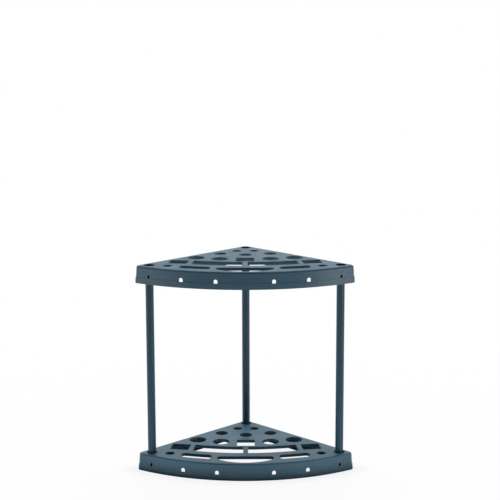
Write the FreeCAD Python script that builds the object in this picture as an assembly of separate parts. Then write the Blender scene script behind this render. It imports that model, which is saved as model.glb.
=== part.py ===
# Freestanding corner rack for long-handled tools: two moulded shelves of one pattern,
# carried by three tube posts, and held by one screw at each end of each post.
# Lengths are in millimetres. +Z is up, the curved front faces -Y, the rear corner +Y.
# The origin is the bottom centre of the rack's box.
# In plan, a place is (x, forward). Forward is counted from the rear corner, where the
# straight sides of the deck would meet if they weren't rounded, towards the curved front.

import FreeCAD, Part
import math
import os

Vector = FreeCAD.Vector
UP = Vector(0, 0, 1)
OFFSET_CORNERS = ("round", "tangent", "sharp")

# Plan of a shelf at deck level
front_radius = 600.0
front_reach = 466.0
rear_half_angle = 45.0
corner_radius = 15.0

# Deck and skirt of a shelf
shelf_height = 55.0
deck_wall = 3.0
skirt_wall = 3.0
skirt_draft = 2.2
deck_edge_radius = 6.0
band_height = 18.0
band_proud = 1.5

# Collars round the openings in the deck
collar_depth = 10.0
collar_wall = 2.5
opening_edge_radius = 1.0

# Round tool holes: diameters, then places
small_hole = 31.0
medium_hole = 42.0
large_hole = 56.0
rear_small_place = (28.7, 98.0)
centre_medium_place = (0.0, 167.5)
side_medium_place = (82.7, 148.0)
inner_large_place = (82.5, 239.5)
outer_large_place = (160.0, 219.5)
front_small_place = (245.5, 357.5)

# Square hole in the middle, and the leaning one on each side
square_width = 59.0
square_depth = 61.0
square_place = (0.0, 252.5)
window_width = 61.0
window_depth = 55.0
window_place = (214.5, 292.5)
window_lean = 8.5
window_corner_radius = 3.0

# Pair of long curved slots, with a rib between them and one before each window
slot_far = 294.5
slot_depth = 62.5
slot_rib = 16.0
window_rib = 15.0
slot_corner_radius = 3.0

# Slots along the front: one on each side, and a smile in the middle. A rim is the deck
# between an opening's foremost point, where its arc crosses the middle, and the front.
side_slot_start = 109.5
side_slot_end = 207.6
side_slot_rim = 42.5
side_slot_depth = 40.0
side_slot_radius = 700.0
side_slot_corner_radius = 12.0
smile_half_width = 91.0
smile_rim = 15.0
smile_depth = 60.5
smile_end_depth = 25.0
smile_corner_radius = 9.0

# Arched holes in the front skirt, for hanging small things
hanging_width = 11.3
hanging_height = 12.9
hanging_places = (90.6, 199.3)

# Posts and the rack's height. A front post stands back from the shelf's front corner,
# where the side and the front would meet if they weren't rounded, and in from the side.
deck_spacing = 619.0
post_diameter = 26.0
post_wall = 2.0
front_post_from_corner = 39.2
front_post_from_side = 28.6
back_post_forward = 36.0

# Sockets that hold the posts
mouth_diameter = 35.0
mouth_depth = 14.0
socket_wall = 3.0
socket_clearance = 0.2
socket_foot = 4.0
post_top_recess = 2.0
web_thickness = 2.5
web_foot = 12.0

# Screws, and the tunnels through the skirt that reach them
screw_level = 25.5
screw_shank = 3.5
screw_head = 6.6
screw_head_height = 2.4
screw_reach_inside = 5.0
screw_tip_length = 2.5
screw_hole_clearance = 0.1
pilot_clearance = 0.02
cross_recess_width = 1.0
cross_recess_span = 3.8
cross_recess_depth = 1.3
access_width = 7.5
access_straight = 3.5
access_wall = 2.0
seat_thickness = 1.5

# Sizes worked out from the above
slot_near = slot_far + slot_depth
side_slot_near = front_reach - side_slot_rim
side_slot_far = side_slot_near - side_slot_depth
smile_near = front_reach - smile_rim
smile_far = smile_near - smile_depth
smile_end = smile_far + smile_end_depth
post_radius = post_diameter / 2
bore_radius = post_radius + socket_clearance
socket_top = shelf_height - mouth_depth
post_length = deck_spacing + socket_top - post_top_recess
seat_distance = bore_radius + socket_wall + seat_thickness
side_across = math.sin(math.radians(rear_half_angle))
side_forward = math.cos(math.radians(rear_half_angle))
front_centre = front_reach - front_radius
side_length = front_centre * side_forward + math.sqrt(front_radius ** 2 - (front_centre * side_across) ** 2)
front_post_along = side_length - front_post_from_corner
front_post_place = (front_post_along * side_across - front_post_from_side * side_forward,
                    front_post_along * side_forward + front_post_from_side * side_across)


def drafted(level):
    """How far the skirt stands outside the deck's plan at a level above its foot."""
    return (shelf_height - level) * math.tan(math.radians(skirt_draft))


foot_proud = drafted(0) + band_proud
band_corner_radius = corner_radius + band_proud
rear_end = (band_corner_radius - foot_proud) / side_across - band_corner_radius
front_end = front_reach + foot_proud
middle = (rear_end + front_end) / 2


def place(x, forward, level=0.0):
    """The point at a place in plan and a level."""
    return Vector(x, middle - forward, level)


def both_sides(spot):
    """A place and its mirror image."""
    return [spot, (-spot[0], spot[1])]


def wedge_wire(grow, level):
    """Triangle of the two straight rear sides, moved outwards, and a line well in front."""
    tip = -grow / side_across
    reach = 2 * front_reach
    spread = (reach - tip) * math.tan(math.radians(rear_half_angle))
    corners = [place(0, tip, level), place(spread, reach, level), place(-spread, reach, level)]
    return Part.makePolygon(corners + corners[:1])


def plan_block(outside, low, high, rounding):
    """The shelf's plan as a solid between two levels, flared by the draft."""
    low_grow = drafted(low) + outside
    high_grow = drafted(high) + outside
    centre = place(0, front_centre, low)
    front = Part.makeCone(front_radius + low_grow, front_radius + high_grow, high - low, centre)
    wedge = Part.makeLoft([wedge_wire(low_grow, low), wedge_wire(high_grow, high)], True, True)
    block = front.common(wedge)
    uprights = [edge for edge in block.Edges if edge.BoundBox.ZLength > (high - low) / 2]
    return block.makeFillet(rounding, uprights)


def prism(outline, low, high):
    """A closed plan outline as a solid between two levels."""
    face = Part.Face(outline)
    face.translate(UP * low)
    return face.extrude(UP * (high - low))


def round_uprights(solid, radius):
    """The solid with its upright edges rounded."""
    height = solid.BoundBox.ZLength
    uprights = [edge for edge in solid.Edges if edge.BoundBox.ZLength > height / 2]
    return solid.makeFillet(radius, uprights)


def circle(spot, diameter):
    """Plan outline of a round opening."""
    return Part.Wire(Part.makeCircle(diameter / 2, place(*spot), UP))


def rectangle(spot, width, depth, lean):
    """Plan outline of a rectangle, turned about its middle by the lean."""
    turn = math.radians(lean)
    across = Vector(math.cos(turn), math.sin(turn), 0) * (width / 2)
    along = Vector(math.sin(turn), -math.cos(turn), 0) * (depth / 2)
    centre = place(*spot)
    corners = [centre - across - along, centre + across - along,
               centre + across + along, centre - across + along]
    return Part.makePolygon(corners + corners[:1])


def front_drop(x):
    """How far the front arc falls back at x."""
    return front_radius - math.sqrt(front_radius ** 2 - x ** 2)


def bowed(x, crest, radius):
    """The point at x on an arc that bows forward, whose crest is on the middle line."""
    return place(x, crest - radius + math.sqrt(radius ** 2 - x ** 2))


def bowed_arc(start, end, crest, radius):
    """The stretch of such an arc between two x values."""
    points = [bowed(x, crest, radius) for x in (start, (start + end) / 2, end)]
    return Part.Arc(*points).toShape()


def curved_slot(starts, ends, crests, radius):
    """Outline between a far and a near arc, each given by its start, end and crest."""
    far = bowed_arc(starts[0], ends[0], crests[0], radius)
    near = bowed_arc(starts[1], ends[1], crests[1], radius)
    first = Part.makeLine(bowed(starts[0], crests[0], radius), bowed(starts[1], crests[1], radius))
    last = Part.makeLine(bowed(ends[0], crests[0], radius), bowed(ends[1], crests[1], radius))
    return Part.Wire(Part.__sortEdges__([far, last, near, first]))


def long_slot(side):
    """Outline of the long curved slot on one side, whose outer end leans with the window."""
    lean = math.tan(math.radians(window_lean))
    outer_face = window_place[0] - window_width / 2 / math.cos(math.radians(window_lean)) - window_rib
    far_end = outer_face + (slot_far - front_drop(outer_face) - window_place[1]) * lean
    near_end = outer_face + (slot_near - front_drop(outer_face) - window_place[1]) * lean
    start = side * slot_rib / 2
    return curved_slot((start, start), (side * far_end, side * near_end),
                       (slot_far, slot_near), front_radius)


def side_slot(side):
    """Outline of the slot along the front on one side."""
    start = side * side_slot_start
    end = side * side_slot_end
    return curved_slot((start, start), (end, end), (side_slot_far, side_slot_near), side_slot_radius)


def smile():
    """Outline of the middle slot: a straight far edge and a deep forward bow."""
    left_far = place(-smile_half_width, smile_far)
    left_end = place(-smile_half_width, smile_end)
    right_end = place(smile_half_width, smile_end)
    right_far = place(smile_half_width, smile_far)
    bow = Part.Arc(left_end, place(0, smile_near), right_end).toShape()
    return Part.Wire([Part.makeLine(left_far, left_end), bow,
                      Part.makeLine(right_end, right_far), Part.makeLine(right_far, left_far)])


def tool_openings():
    """Each tool opening in the deck: its outline and the rounding of its corners."""
    found = [(circle(centre_medium_place, medium_hole), 0),
             (rectangle(square_place, square_width, square_depth, 0), window_corner_radius),
             (smile(), smile_corner_radius)]
    rounds = [(rear_small_place, small_hole), (side_medium_place, medium_hole),
              (inner_large_place, large_hole), (outer_large_place, large_hole),
              (front_small_place, small_hole)]
    for spot, diameter in rounds:
        found += [(circle(twin, diameter), 0) for twin in both_sides(spot)]
    for side in (1, -1):
        spot = (side * window_place[0], window_place[1])
        window = rectangle(spot, window_width, window_depth, side * window_lean)
        found.append((window, window_corner_radius))
        found.append((long_slot(side), slot_corner_radius))
        found.append((side_slot(side), side_slot_corner_radius))
    return found


def collar(outline, rounding):
    """Block of the lip that hangs below the deck round an opening, before it is cut."""
    grown = outline.makeOffset2D(collar_wall, OFFSET_CORNERS.index("sharp"))
    block = prism(grown, shelf_height - collar_depth, shelf_height - deck_wall / 2)
    return round_uprights(block, rounding + collar_wall) if rounding else block


def opening_cutter(outline, rounding):
    """What an opening takes out of the deck and its collar."""
    cutter = prism(outline, shelf_height - 2 * collar_depth, shelf_height + deck_wall)
    return round_uprights(cutter, rounding) if rounding else cutter


def upright_cylinder(spot, radius, low, high):
    """Round solid between two levels."""
    return Part.makeCylinder(radius, high - low, place(spot[0], spot[1], low), UP)


def posts():
    """Each post's name, place, and the way its screws point out: +1 forward, -1 to the rear."""
    return [("left", (-front_post_place[0], front_post_place[1]), 1),
            ("right", front_post_place, 1),
            ("back", (0.0, back_post_forward), -1)]


def oblong(spot, facing, start, end, margin):
    """Upright oblong bar along the screw's line, between two distances from the post's axis."""
    radius = access_width / 2 + margin
    half = access_straight / 2
    top = [Vector(-radius, 0, half), Vector(0, 0, half + radius), Vector(radius, 0, half)]
    bottom = [Vector(radius, 0, -half), Vector(0, 0, -half - radius), Vector(-radius, 0, -half)]
    outline = Part.Wire([Part.Arc(*top).toShape(), Part.makeLine(top[2], bottom[0]),
                         Part.Arc(*bottom).toShape(), Part.makeLine(bottom[2], top[0])])
    face = Part.Face(outline)
    face.translate(place(spot[0], spot[1] + facing * start, screw_level))
    return face.extrude(Vector(0, -facing * (end - start), 0))


def webs(spot):
    """Thin upright webs from a socket square to the rear sides that it stands near."""
    reach = 2 * mouth_diameter
    found = []
    for side in (1, -1):
        if spot[0] * side < 0:
            continue
        web = Part.makeBox(reach, web_thickness, shelf_height - deck_wall / 2 - web_foot)
        web.translate(Vector(0, -web_thickness / 2, 0))
        web.rotate(Vector(0, 0, 0), UP, 90 - side * (90 - rear_half_angle))
        web.translate(place(spot[0], spot[1], web_foot))
        found.append(web)
    return found


def socket_material(spot, facing):
    """Stepped sleeve, the screw tunnel's walls and the webs, before they are hollowed."""
    mouth = upright_cylinder(spot, mouth_diameter / 2 + collar_wall,
                             socket_top - socket_wall, shelf_height - deck_wall / 2)
    sleeve = upright_cylinder(spot, bore_radius + socket_wall, socket_foot, socket_top)
    tunnel = oblong(spot, facing, 0, 2 * mouth_diameter, access_wall)
    return [mouth, sleeve, tunnel] + webs(spot)


def screw_line(spot, facing, radius, start, end):
    """Round bar on the screw's axis between two distances from the post's axis."""
    base = place(spot[0], spot[1] + facing * start, screw_level)
    return Part.makeCylinder(radius, end - start, base, Vector(0, -facing, 0))


def socket_cutters(spot, facing):
    """What a socket and its screw take out: mouth, bore, tunnel and screw hole."""
    hole_radius = screw_shank / 2 + screw_hole_clearance
    return [upright_cylinder(spot, mouth_diameter / 2, socket_top, shelf_height + deck_wall),
            upright_cylinder(spot, bore_radius, 0, shelf_height),
            oblong(spot, facing, seat_distance, 2 * mouth_diameter, 0),
            screw_line(spot, facing, hole_radius, 0, seat_distance + seat_thickness)]


def hanging_cutter(x):
    """Arched hole through the front skirt at x, flat on the band's ledge."""
    radius = hanging_width / 2
    spring = band_height + hanging_height - radius
    low = [Vector(x - radius, 0, band_height), Vector(x + radius, 0, band_height)]
    high = [Vector(x + radius, 0, spring), Vector(x - radius, 0, spring)]
    arch = Part.Arc(high[0], Vector(x, 0, spring + radius), high[1]).toShape()
    outline = Part.Wire([Part.makeLine(low[0], low[1]), Part.makeLine(low[1], high[0]), arch,
                         Part.makeLine(high[1], low[0])])
    face = Part.Face(outline)
    reach = 2 * (skirt_wall + foot_proud)
    start = front_reach - front_drop(x) - reach
    face.translate(place(0, start))
    return face.extrude(Vector(0, -2 * reach, 0))


def deck_shell():
    """Deck and skirt with the proud band, open below, with its deck edge rounded."""
    upper = plan_block(0, band_height, shelf_height, corner_radius)
    band = plan_block(band_proud, 0, band_height, band_corner_radius)
    body = upper.fuse(band)
    rim = [edge for edge in body.Edges if edge.BoundBox.ZMin > shelf_height - deck_wall]
    body = body.makeFillet(deck_edge_radius, rim)
    hollow = plan_block(-skirt_wall, 0, shelf_height - deck_wall, corner_radius - skirt_wall)
    return body.cut(hollow)


def inside_block():
    """Space inside the middle of the skirt's wall, where collars and sockets may reach."""
    half_wall = skirt_wall / 2
    return plan_block(-half_wall, 0, shelf_height, corner_radius - half_wall)


def soften_openings(body):
    """The shelf with the top edge of each opening in its deck rounded."""
    top_faces = [face for face in body.Faces if face.BoundBox.ZMin > shelf_height - deck_wall / 2]
    deck = max(top_faces, key=lambda face: face.Area)
    inner = [wire for wire in deck.Wires if not wire.isSame(deck.OuterWire)]
    edges = [edge for wire in inner for edge in wire.Edges]
    return body.makeFillet(opening_edge_radius, edges)


def shelf():
    """One shelf, standing on the floor."""
    openings = tool_openings()
    added = [collar(outline, rounding) for outline, rounding in openings]
    removed = [opening_cutter(outline, rounding) for outline, rounding in openings]
    for _, spot, facing in posts():
        added += socket_material(spot, facing)
        removed += socket_cutters(spot, facing)
    for x in hanging_places:
        removed += [hanging_cutter(x), hanging_cutter(-x)]
    inside = inside_block()
    body = deck_shell().fuse([piece.common(inside) for piece in added])
    body = body.cut(removed).removeSplitter()
    return soften_openings(body)


def post(spot, facing):
    """Tube from the floor to the upper shelf's socket, drilled for its two screws."""
    tube = upright_cylinder(spot, post_radius, 0, post_length)
    tube = tube.cut(upright_cylinder(spot, post_radius - post_wall, 0, post_length))
    pilot = screw_line(spot, facing, screw_shank / 2 + pilot_clearance, 0, post_diameter)
    upper_pilot = pilot.copy()
    upper_pilot.translate(UP * deck_spacing)
    return tube.cut([pilot, upper_pilot])


def screw(spot, facing):
    """Pan-head screw whose head sits on the seat in the tunnel, with a cross recess."""
    tip_end = post_radius - post_wall - screw_reach_inside
    tip_start = tip_end + screw_tip_length
    head_end = seat_distance + screw_head_height
    head = screw_line(spot, facing, screw_head / 2, seat_distance, head_end)
    crown = min(head.Faces, key=lambda face: facing * face.CenterOfMass.y)
    head = head.makeFillet(screw_head_height / 2, crown.Edges)
    shank = screw_line(spot, facing, screw_shank / 2, tip_start, seat_distance)
    tip_base = place(spot[0], spot[1] + facing * tip_start, screw_level)
    tip = Part.makeCone(screw_shank / 2, 0, screw_tip_length, tip_base, Vector(0, facing, 0))
    recess_middle = place(spot[0], spot[1] + facing * head_end, screw_level)
    cuts = []
    for width, height in ((cross_recess_width, cross_recess_span), (cross_recess_span, cross_recess_width)):
        cut = Part.makeBox(width, 2 * cross_recess_depth, height)
        cut.translate(recess_middle - Vector(width / 2, cross_recess_depth, height / 2))
        cuts.append(cut)
    return shank.fuse([head, tip]).cut(cuts)


def raised(shape):
    """A copy of a shape, one deck spacing higher."""
    copy = shape.copy()
    copy.translate(UP * deck_spacing)
    return copy


def main():
    """Write each piece to its own file."""
    os.makedirs("parts", exist_ok=True)
    moulding = shelf()
    pieces = {"bottom_shelf": moulding, "top_shelf": raised(moulding)}
    for name, spot, facing in posts():
        pieces[name + "_post"] = post(spot, facing)
        fixing = screw(spot, facing)
        pieces["bottom_" + name + "_screw"] = fixing
        pieces["top_" + name + "_screw"] = raised(fixing)
    for name, shape in pieces.items():
        solid = shape.Solids[0]
        solid.exportStep("parts/" + name + ".step")
        box = solid.optimalBoundingBox(False)
        corners = [box.XMin, box.YMin, box.ZMin, box.XMax, box.YMax, box.ZMax]
        print(name, len(shape.Solids), solid.isValid(), [round(value, 1) for value in corners])


main()
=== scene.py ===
# Looks of the freestanding garden tool rack: procedural materials, floor, surround, lamps and camera.
# The rack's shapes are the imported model's own. Lengths are in metres, +Z is up, the front faces -Y.

import math

import bpy
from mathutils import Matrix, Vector


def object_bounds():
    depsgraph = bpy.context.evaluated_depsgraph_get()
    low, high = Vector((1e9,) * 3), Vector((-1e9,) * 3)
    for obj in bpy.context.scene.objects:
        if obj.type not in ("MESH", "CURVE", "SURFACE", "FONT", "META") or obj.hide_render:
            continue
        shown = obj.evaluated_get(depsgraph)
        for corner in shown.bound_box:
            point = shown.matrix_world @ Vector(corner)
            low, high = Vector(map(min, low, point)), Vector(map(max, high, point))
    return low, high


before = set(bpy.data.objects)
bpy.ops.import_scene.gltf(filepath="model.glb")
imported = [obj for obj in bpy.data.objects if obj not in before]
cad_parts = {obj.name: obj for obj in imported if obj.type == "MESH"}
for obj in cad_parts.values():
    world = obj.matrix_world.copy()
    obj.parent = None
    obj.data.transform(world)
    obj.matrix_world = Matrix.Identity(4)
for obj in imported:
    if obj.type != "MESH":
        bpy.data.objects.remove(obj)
cad_low, cad_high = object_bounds()

# Linear colours
SHELF_COLOUR = (0.035, 0.105, 0.156, 1)
POST_COLOUR = (0.012, 0.054, 0.087, 1)
STEEL_COLOUR = (0.42, 0.42, 0.41, 1)
# Pale grey of dust and wear, and of the rims' painted highlight
DUST_WEAR_AND_HIGHLIGHT_COLOUR = (0.42, 0.43, 0.43, 1)
FLOOR_COLOUR = (0.72, 0.72, 0.72, 1)
# Painted shade: the floor's colour at the rack's foot, a tenth of the rest
PAINTED_FOOT_SHADE_COLOUR = (0.072, 0.072, 0.072, 1)
WHITE = (1, 1, 1, 1)

# Finishes: middle roughness and its swing each way, gloss of the posts, and width of the rubbed rims,
# which also carry a painted highlight
SHELF_ROUGHNESS = 0.38
POST_ROUGHNESS = 0.36
SCREW_ROUGHNESS = 0.42
PLASTIC_SWING = 0.05
SCREW_SWING = 0.10
POST_SPECULAR = 0.35
RIM_WIDTH = 0.002

# Scuffs of the decks: turn about Z in radians, and the scales per metre of the lines and of their patches
SCUFFS = ((0.3, 900.0, 15.0), (-0.45, 700.0, 19.0), (1.25, 800.0, 12.0))
SCUFF_STRETCH = (1, 80, 80)

# Noise: its middle, and where most of its values lie
NOISE_MIDDLE = 0.5
NOISE_SPREAD = (0.3, 0.7)

# Smooth changes, each as the two ends of what is measured and the two values there
OFF_FLAT = ((0.998, 0.95), (0.0, 1.0))
LOOKS_UP = ((0.6, 0.95), (0.0, 1.0))
THIN_LINE = ((0.004, 0.012), (1.0, 0.0))
SCUFF_PATCH = ((0.55, 0.68), (0.0, 1.0))
PALE_FLECK = ((0.62, 0.70), (0.0, 0.35))
SETTLED_DUST = ((0.35, 0.75), (0.0, 1.0))
WORN_AND_HIGHLIT_RIM = ((0.3, 0.6), (0.25, 1.0))
PALE_STREAK = ((0.35, 0.65), (0.0, 0.8))
RUBBED_SPOT = ((0.60, 0.72), (0.0, 1.0))

# Footprint of the rack: an arc about a point behind it, and two straight sides to the rear corner
ARC_CENTRE = (0, 0.370, 0)
ARC_RADIUS = ARC_CENTRE[1] - cad_low[1]
REAR_CORNER = cad_high[1]

# Floor: painted shade that fades out with the distance from the rack's outline, whiteness by the distance
# from the middle
CLEAR_OF_PAINTED_SHADE = ((0.0, 0.06), (0.0, 1.0))
SEEN_WHITE = ((0.5, 1.8), (0.90, 1.0))
NEAR_WHITE = ((0.28, 0.6), (0.0, 1.0))
FAR_WHITE = ((1.5, 3.0), (0.3, 0.1))
FLOOR_SIZE = 40

# Surround: brightness by how far a direction points up (Z) or back (Y)
MIRRORED_CEILING = ((0.35, 0.75), (1.0, 0.1))
MIRRORED_BACKDROP = ((-0.3, 0.4), (0.0, 0.82))
LIGHT_ABOVE = ((0.05, 0.35), (0.0, 1.0))
LIGHT_BEHIND = ((-0.1, 0.1), (0.0, 1.6))
SEEN_SURROUND = 1.0

# Lamps that point at the rack's middle: place, width and height, watts, and whether they show in gloss
RACK_MIDDLE = (0, 0, 0.35)
LAMPS = {
    "high_rear": ((0, 2.6, 5.2), (3.6, 3.6), 195, False),
    "left_side": ((-2.5, -1.2, 0.65), (1.8, 0.8), 7.5, True),
    "right_side": ((2.5, -1.2, 0.65), (1.8, 0.8), 15, True),
}

# Faint lamps that lie on the floor along the front arc: angle about its centre in degrees, and watts
STRIPS = {"left_strip": (-24, 0.42), "middle_strip": (0, 0.28), "right_strip": (24, 0.42)}
STRIP_SIZE = (0.32, 0.2)
STRIP_GAP = 0.16
STRIP_HEIGHT = 0.002

# Camera: where the photograph was taken from, with its turns in degrees and its lens in millimetres
CAMERA_PLACE = (0.030, -4.398, 1.5075)
CAMERA_PITCH = 10.38
CAMERA_YAW = -0.16
CAMERA_ROLL = 0.15
CAMERA_LENS = 99.2
CAMERA_SENSOR = 36


# Shader nodes

def feed(tree, socket, value):
    """Links the value to the socket if it is another node's output, and otherwise writes it there."""
    if isinstance(value, bpy.types.NodeSocket):
        tree.links.new(value, socket)
    else:
        socket.default_value = value


def add_node(tree, kind, **settings):
    """A new shader node; a setting that isn't one of the node's own fills the input socket of its name."""
    node = tree.nodes.new(kind)
    for name, value in settings.items():
        if hasattr(node, name):
            setattr(node, name, value)
        else:
            feed(tree, node.inputs[name.replace("_", " ")], value)
    return node


def combine(tree, operation, first, second=0.0):
    """Two numbers put together by a Math node."""
    node = add_node(tree, "ShaderNodeMath", operation=operation)
    feed(tree, node.inputs[0], first)
    feed(tree, node.inputs[1], second)
    return node.outputs[0]


def ramp(tree, value, start, result):
    """A number that goes smoothly from one end of the result to the other, as the value does."""
    node = add_node(tree, "ShaderNodeMapRange", interpolation_type="SMOOTHSTEP", Value=value,
                    From_Min=start[0], From_Max=start[1], To_Min=result[0], To_Max=result[1])
    return node.outputs["Result"]


def blend(tree, factor, first, second):
    """A colour between two."""
    node = add_node(tree, "ShaderNodeMix", data_type="RGBA")
    for index, value in ((0, factor), (6, first), (7, second)):
        feed(tree, node.inputs[index], value)
    return node.outputs[2]


def choose(tree, factor, plain, chosen):
    """A number that is plain where the factor is 0 and chosen where it is 1."""
    node = add_node(tree, "ShaderNodeMix", data_type="FLOAT")
    for index, value in ((0, factor), (2, plain), (3, chosen)):
        feed(tree, node.inputs[index], value)
    return node.outputs[0]


def mixed_shader(tree, factor, first, second):
    """A shader between two."""
    node = tree.nodes.new("ShaderNodeMixShader")
    for socket, value in zip(node.inputs, (factor, first, second)):
        feed(tree, socket, value)
    return node.outputs[0]


def noise(tree, place, scale, detail=2.0, stretch=(1, 1, 1), turn=0.0):
    """Noise of a scale per metre, drawn out along axes whose stretch is above 1, and turned about Z."""
    mapping = add_node(tree, "ShaderNodeMapping", vector_type="TEXTURE", Vector=place,
                       Rotation=(0, 0, turn), Scale=stretch)
    node = add_node(tree, "ShaderNodeTexNoise", Vector=mapping.outputs["Vector"], Scale=scale,
                    Detail=detail, Roughness=0.55)
    return node.outputs["Fac"]


def object_place(tree):
    """The point's place on the object, in metres."""
    return tree.nodes.new("ShaderNodeTexCoord").outputs["Object"]


def surface_normal(tree):
    """The direction that the surface faces."""
    return tree.nodes.new("ShaderNodeNewGeometry").outputs["Normal"]


def background_rays(tree):
    """Two factors: 1 for camera rays, and 1 for glossy and transmission rays."""
    path = tree.nodes.new("ShaderNodeLightPath")
    mirrored = combine(tree, "MAXIMUM", path.outputs["Is Glossy Ray"], path.outputs["Is Transmission Ray"])
    return path.outputs["Is Camera Ray"], mirrored


# Colours

def shade_of(colour, amount):
    """The colour made lighter or darker."""
    return [channel * amount for channel in colour[:3]] + [1]


def faded(colour, share):
    """The colour turned towards pale grey by a share, for dust, wear and the rims' painted highlight."""
    pairs = zip(colour[:3], DUST_WEAR_AND_HIGHLIGHT_COLOUR[:3])
    return [channel + (pale - channel) * share for channel, pale in pairs] + [1]


def tinted(tree, base, mask, strength, colour):
    """The base turned towards a colour by a strength, where the mask is 1."""
    return blend(tree, combine(tree, "MULTIPLY", mask, strength), base, colour)


def shifted(tree, value, mask, amount):
    """The value raised by an amount, where the mask is 1."""
    return combine(tree, "ADD", value, combine(tree, "MULTIPLY", mask, amount))


def swung(tree, pattern, middle, swing):
    """A number that swings about a middle with a noise pattern."""
    return ramp(tree, pattern, NOISE_SPREAD, (middle - swing, middle + swing))


# Masks

def rims(tree):
    """1 where the surface turns within the width of a rim, and 0 on a flat face."""
    soft = add_node(tree, "ShaderNodeBevel", samples=6, Radius=RIM_WIDTH)
    dot = add_node(tree, "ShaderNodeVectorMath", operation="DOT_PRODUCT")
    feed(tree, dot.inputs[0], soft.outputs["Normal"])
    feed(tree, dot.inputs[1], surface_normal(tree))
    return ramp(tree, dot.outputs["Value"], *OFF_FLAT)


def upward(tree):
    """1 on faces that look up, where dust settles and tools rub."""
    split = add_node(tree, "ShaderNodeSeparateXYZ", Vector=surface_normal(tree))
    return ramp(tree, split.outputs["Z"], *LOOKS_UP)


def scratches(tree, place, turn, scale, patch_scale):
    """Thin straight scuffs that run front to back, turned by an angle, in scattered patches."""
    lines = noise(tree, place, scale, detail=1.0, stretch=SCUFF_STRETCH, turn=turn)
    off_middle = combine(tree, "ABSOLUTE", combine(tree, "SUBTRACT", lines, NOISE_MIDDLE))
    thin = ramp(tree, off_middle, *THIN_LINE)
    patches = ramp(tree, noise(tree, place, patch_scale), *SCUFF_PATCH)
    return combine(tree, "MULTIPLY", thin, patches)


def outline_distance(tree, place):
    """How far a floor point is from the outline of the rack's footprint."""
    from_centre = add_node(tree, "ShaderNodeVectorMath", operation="DISTANCE")
    feed(tree, from_centre.inputs[0], place)
    feed(tree, from_centre.inputs[1], ARC_CENTRE)
    before_arc = combine(tree, "SUBTRACT", from_centre.outputs["Value"], ARC_RADIUS)
    split = add_node(tree, "ShaderNodeSeparateXYZ", Vector=place)
    across = combine(tree, "ABSOLUTE", split.outputs["X"])
    past_corner = combine(tree, "SUBTRACT", combine(tree, "ADD", across, split.outputs["Y"]), REAR_CORNER)
    beside = combine(tree, "MULTIPLY", past_corner, math.sqrt(0.5))
    return combine(tree, "ABSOLUTE", combine(tree, "MAXIMUM", before_arc, beside))


# Materials

def new_material(name):
    """An empty node material and its tree, with only an output."""
    material = bpy.data.materials.new(name)
    material.use_nodes = True
    tree = material.node_tree
    tree.nodes.clear()
    return material, tree, tree.nodes.new("ShaderNodeOutputMaterial")


def bump(tree, heights):
    """The normal after a chain of bumps, from (height, strength, depth in metres) rows."""
    normal = None
    for height, strength, depth in heights:
        node = add_node(tree, "ShaderNodeBump", Strength=strength, Distance=depth, Height=height)
        if normal:
            tree.links.new(normal, node.inputs["Normal"])
        normal = node.outputs["Normal"]
    return normal


def surface(tree, output, tint, gloss, heights, **settings):
    """Gives the material a principled shader of a colour, a roughness and bumps."""
    shader = add_node(tree, "ShaderNodeBsdfPrincipled", Base_Color=tint, Roughness=gloss,
                      Normal=bump(tree, heights), **settings)
    tree.links.new(shader.outputs["BSDF"], output.inputs["Surface"])


def moulded_plastic(name, colour, roughness):
    """Matt moulded polypropylene: mottled, fine grained, dusty on top, rubbed and lightened as a painted
    highlight at the rims, and scuffed.
    """
    material, tree, output = new_material(name)
    place = object_place(tree)
    mottle = noise(tree, place, scale=9.0, detail=4.0)
    flecks = ramp(tree, noise(tree, place, scale=420.0), *PALE_FLECK)
    grain = noise(tree, place, scale=1500.0)
    warp = noise(tree, place, scale=22.0, detail=1.0)
    up = upward(tree)
    settled = ramp(tree, noise(tree, place, scale=34.0, detail=6.0), *SETTLED_DUST)
    dust = combine(tree, "MULTIPLY", up, settled)
    # Rims: rubbed wear and a painted highlight, paler and glossier
    worn_and_highlit = ramp(tree, noise(tree, place, scale=70.0, detail=3.0), *WORN_AND_HIGHLIT_RIM)
    lightened = combine(tree, "MULTIPLY", rims(tree), worn_and_highlit)
    scuffs = 0.0
    for row in SCUFFS:
        scuffs = combine(tree, "MAXIMUM", scuffs, scratches(tree, place, *row))
    scuffed = combine(tree, "MULTIPLY", up, scuffs)

    tint = blend(tree, mottle, shade_of(colour, 0.91), shade_of(colour, 1.09))
    tint = blend(tree, flecks, tint, shade_of(colour, 1.5))
    tint = tinted(tree, tint, dust, strength=0.4, colour=faded(colour, 0.10))
    # Painted highlight with wear: the rims turn paler
    tint = tinted(tree, tint, lightened, strength=0.8, colour=faded(colour, 0.30))
    tint = tinted(tree, tint, scuffed, strength=0.45, colour=faded(colour, 0.30))

    gloss = swung(tree, mottle, roughness, PLASTIC_SWING)
    gloss = shifted(tree, gloss, dust, amount=0.10)
    gloss = shifted(tree, gloss, lightened, amount=-0.08)

    heights = [(warp, 0.15, 0.002), (grain, 0.3, 0.0002), (scuffed, 0.2, 0.0001)]
    surface(tree, output, tint, gloss, heights)
    return material


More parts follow.
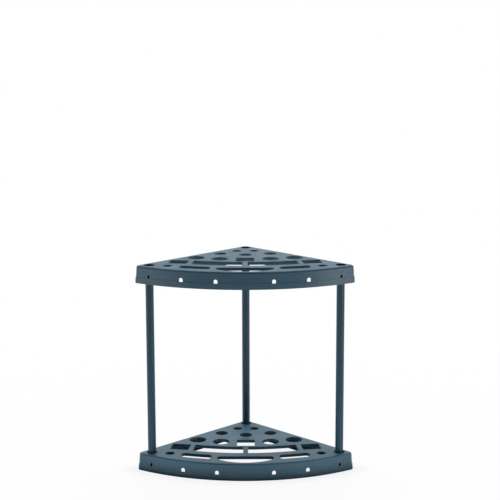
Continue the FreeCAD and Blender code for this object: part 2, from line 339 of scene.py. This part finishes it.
def drawn_plastic(name, colour, roughness):
    """Satin extruded tube: streaks and fine lines run along it, with a few rubbed spots."""
    material, tree, output = new_material(name)
    place = object_place(tree)
    streaks = noise(tree, place, scale=260.0, detail=3.0, stretch=(1, 1, 80))
    lines = noise(tree, place, scale=1400.0, stretch=(1, 1, 160))
    mottle = noise(tree, place, scale=16.0, detail=4.0)
    spots = noise(tree, place, scale=60.0, detail=5.0, stretch=(1, 1, 3))
    lightened = ramp(tree, spots, *RUBBED_SPOT)

    tint = blend(tree, mottle, shade_of(colour, 0.88), shade_of(colour, 1.12))
    tint = blend(tree, ramp(tree, streaks, *PALE_STREAK), tint, shade_of(colour, 1.28))
    tint = tinted(tree, tint, lightened, strength=0.25, colour=faded(colour, 0.12))

    gloss = swung(tree, streaks, roughness, PLASTIC_SWING)
    gloss = shifted(tree, gloss, lightened, amount=0.08)

    heights = [(streaks, 0.35, 0.0004), (lines, 0.4, 0.0001)]
    surface(tree, output, tint, gloss, heights, Specular_IOR_Level=POST_SPECULAR)
    return material


def plated_steel(name, colour, roughness):
    """Zinc-plated screw: dull cloudy metal with fine marks."""
    material, tree, output = new_material(name)
    place = object_place(tree)
    clouds = noise(tree, place, scale=500.0, detail=4.0)
    marks = noise(tree, place, scale=4000.0)
    tint = blend(tree, clouds, shade_of(colour, 0.75), shade_of(colour, 1.15))
    gloss = swung(tree, clouds, roughness, SCREW_SWING)
    surface(tree, output, tint, gloss, [(marks, 0.3, 0.00005)], Metallic=1.0)
    return material


def dress(ending, material):
    """Gives the material to each CAD node whose name has the ending."""
    for name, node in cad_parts.items():
        if name.endswith(ending):
            node.data.materials.clear()
            node.data.materials.append(material)


# Stage, lamps and camera

def make_floor():
    """White studio floor: painted shade at the rack's foot, seen whiter away from it, and clear from
    below.
    """
    material, tree, output = new_material("studio_floor")
    place = object_place(tree)
    # Painted shade: the floor darkens to a tenth of its colour within 6 cm of the rack's outline
    clear_of_painted_shade = ramp(tree, outline_distance(tree, place), *CLEAR_OF_PAINTED_SHADE)
    colour = blend(tree, clear_of_painted_shade, PAINTED_FOOT_SHADE_COLOUR, FLOOR_COLOUR)
    diffuse = add_node(tree, "ShaderNodeBsdfDiffuse", Color=colour)
    glow = add_node(tree, "ShaderNodeEmission", Color=WHITE, Strength=1.0)

    from_middle = add_node(tree, "ShaderNodeVectorMath", operation="LENGTH", Vector=place)
    distance = from_middle.outputs["Value"]
    seen, mirrored = background_rays(tree)
    near_white = ramp(tree, distance, *NEAR_WHITE)
    mirrored_white = combine(tree, "MULTIPLY", near_white, ramp(tree, distance, *FAR_WHITE))
    whiteness = choose(tree, mirrored, 0.0, mirrored_white)
    whiteness = choose(tree, seen, whiteness, ramp(tree, distance, *SEEN_WHITE))

    top_side = mixed_shader(tree, whiteness, diffuse.outputs[0], glow.outputs[0])
    back_side = tree.nodes.new("ShaderNodeBsdfTransparent").outputs[0]
    seen_from_below = tree.nodes.new("ShaderNodeNewGeometry").outputs["Backfacing"]
    both_sides = mixed_shader(tree, seen_from_below, top_side, back_side)
    tree.links.new(both_sides, output.inputs["Surface"])

    bpy.ops.mesh.primitive_plane_add(size=FLOOR_SIZE)
    floor = bpy.context.object
    floor.name = "studio_floor"
    floor.data.materials.append(material)


def make_world():
    """White surround: it lights the rack from behind, and reflections see it darker overhead."""
    world = bpy.data.worlds.new("studio")
    bpy.context.scene.world = world
    world.use_nodes = True
    tree = world.node_tree
    direction = tree.nodes.new("ShaderNodeTexCoord").outputs["Generated"]
    split = add_node(tree, "ShaderNodeSeparateXYZ", Vector=direction)
    back, up = split.outputs["Y"], split.outputs["Z"]
    light = combine(tree, "MULTIPLY", ramp(tree, up, *LIGHT_ABOVE), ramp(tree, back, *LIGHT_BEHIND))
    ceiling = ramp(tree, up, *MIRRORED_CEILING)
    reflection = combine(tree, "MULTIPLY", ceiling, ramp(tree, back, *MIRRORED_BACKDROP))
    seen, mirrored = background_rays(tree)
    strength = choose(tree, seen, choose(tree, mirrored, light, reflection), SEEN_SURROUND)
    background = tree.nodes["Background"]
    background.inputs["Color"].default_value = WHITE
    tree.links.new(strength, background.inputs["Strength"])


def area_lamp(name, place, size, power):
    """Soft rectangular lamp of a width and a height, not yet turned."""
    data = bpy.data.lights.new(name, "AREA")
    data.shape = "RECTANGLE"
    data.size, data.size_y = size
    data.energy = power
    lamp = bpy.data.objects.new(name, data)
    lamp.location = place
    bpy.context.collection.objects.link(lamp)
    return lamp


def make_lamps():
    """A high softbox behind the rack, one lamp at each side, and faint strips on the floor in front."""
    for name, (place, size, power, mirrored) in LAMPS.items():
        lamp = area_lamp(name, place, size, power)
        lamp.rotation_euler = (Vector(RACK_MIDDLE) - Vector(place)).to_track_quat("-Z", "Y").to_euler()
        lamp.visible_glossy = mirrored
    reach = ARC_RADIUS + STRIP_GAP
    for name, (degrees, power) in STRIPS.items():
        turn = math.radians(degrees)
        place = (reach * math.sin(turn), ARC_CENTRE[1] - reach * math.cos(turn), STRIP_HEIGHT)
        strip = area_lamp(name, place, STRIP_SIZE, power)
        strip.rotation_euler = (math.pi, 0, turn)
        strip.visible_camera = False
        strip.visible_glossy = False


def make_camera():
    """Camera at the photograph's viewing place, which is the scene's camera."""
    data = bpy.data.cameras.new("camera")
    data.lens = CAMERA_LENS
    data.sensor_width = CAMERA_SENSOR
    camera = bpy.data.objects.new("camera", data)
    camera.location = CAMERA_PLACE
    camera.rotation_euler = [math.radians(turn) for turn in (90 - CAMERA_PITCH, CAMERA_ROLL, -CAMERA_YAW)]
    bpy.context.collection.objects.link(camera)
    bpy.context.scene.camera = camera


def main():
    """Dresses the rack and sets the studio."""
    dress("_shelf", moulded_plastic("shelf_plastic", SHELF_COLOUR, SHELF_ROUGHNESS))
    dress("_post", drawn_plastic("post_plastic", POST_COLOUR, POST_ROUGHNESS))
    dress("_screw", plated_steel("zinc_steel", STEEL_COLOUR, SCREW_ROUGHNESS))
    make_floor()
    make_world()
    make_lamps()
    make_camera()
    bpy.context.scene.view_settings.view_transform = "Standard"


main()
